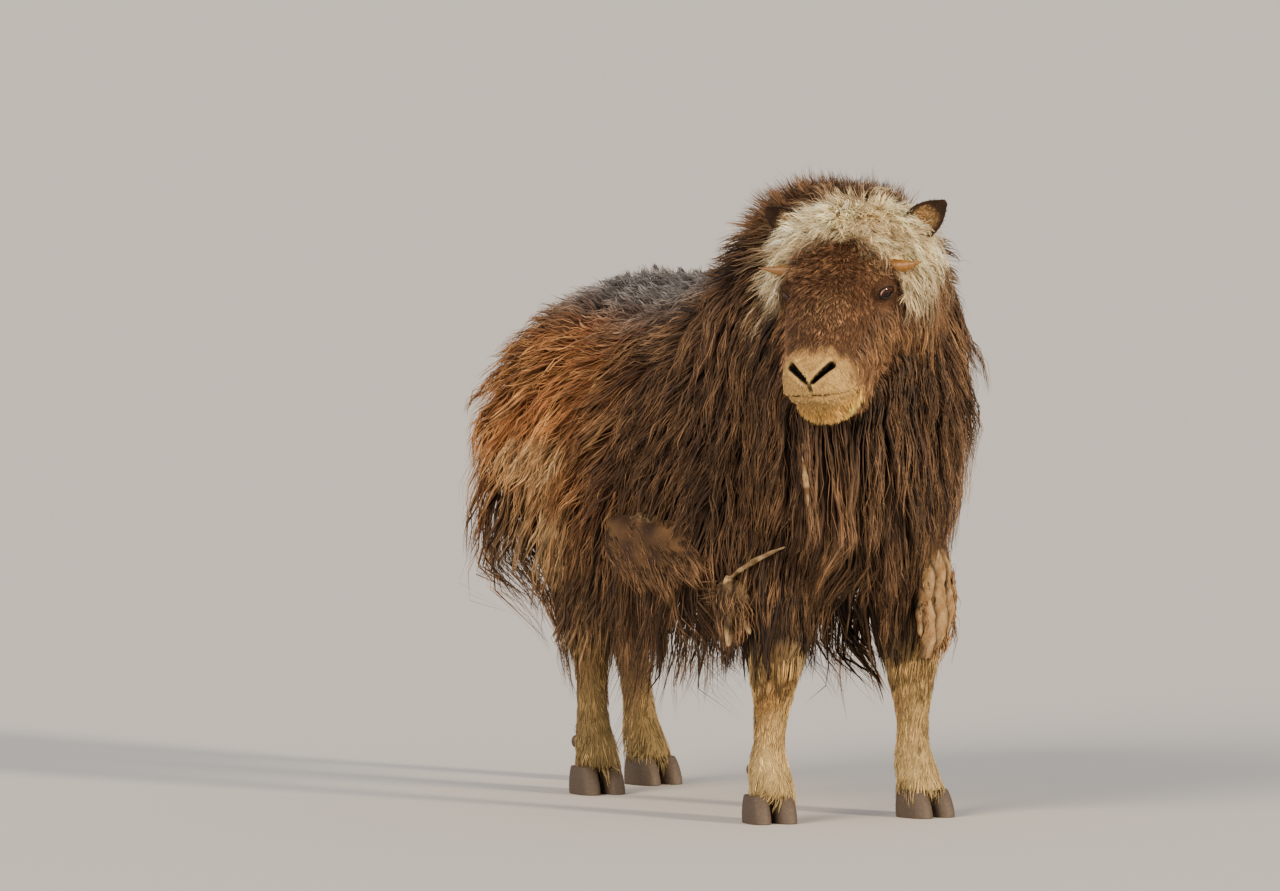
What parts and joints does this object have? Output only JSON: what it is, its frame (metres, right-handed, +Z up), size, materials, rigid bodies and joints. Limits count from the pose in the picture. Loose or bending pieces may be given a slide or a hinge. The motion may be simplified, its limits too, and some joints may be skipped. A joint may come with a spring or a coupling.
{
  "type": "muskox",
  "caption": "Young muskox standing still with its head turned to its right: long shedding coat to below the belly, pale crown and muzzle, short horns.",
  "frame": {"origin": "on the floor, below the middle of the whole animal's box", "axes": "+Z up, the body faces -Y, +X is towards the animal's left side"},
  "size_m": [0.525, 1.2466, 1.0013],
  "materials": {
    "guard_hair": "long, loose brown guard hair",
    "mane_hair": "long, loose blackish-brown hair",
    "face_hair": "short, dense reddish-brown hair, cream on crown and muzzle",
    "leg_hair": "short, close straw-coloured hair",
    "ear_hair": "short brown hair, paler inside",
    "horn": "smooth, dull horn",
    "hoof": "dull, dark horn",
    "eye": "wet, glossy, dark brown"
  },
  "bodies": {
    "root": {"torso": "guard_hair", "neck": "mane_hair", "head": "face_hair", "tail": "guard_hair", "foreleg_left": "leg_hair", "foreleg_left_claw_left": "hoof", "foreleg_left_dewclaw_left": "hoof", "foreleg_left_claw_right": "hoof", "foreleg_left_dewclaw_right": "hoof", "foreleg_right": "leg_hair", "foreleg_right_claw_left": "hoof", "foreleg_right_dewclaw_left": "hoof", "foreleg_right_claw_right": "hoof", "foreleg_right_dewclaw_right": "hoof", "hindleg_left": "leg_hair", "hindleg_left_claw_left": "hoof", "hindleg_left_dewclaw_left": "hoof", "hindleg_left_claw_right": "hoof", "hindleg_left_dewclaw_right": "hoof", "hindleg_right": "leg_hair", "hindleg_right_claw_left": "hoof", "hindleg_right_dewclaw_left": "hoof", "hindleg_right_claw_right": "hoof", "hindleg_right_dewclaw_right": "hoof", "ear_left": "ear_hair", "horn_left": "horn", "eye_left": "eye", "ear_right": "ear_hair", "horn_right": "horn", "eye_right": "eye"}
  },
  "joints": []
}
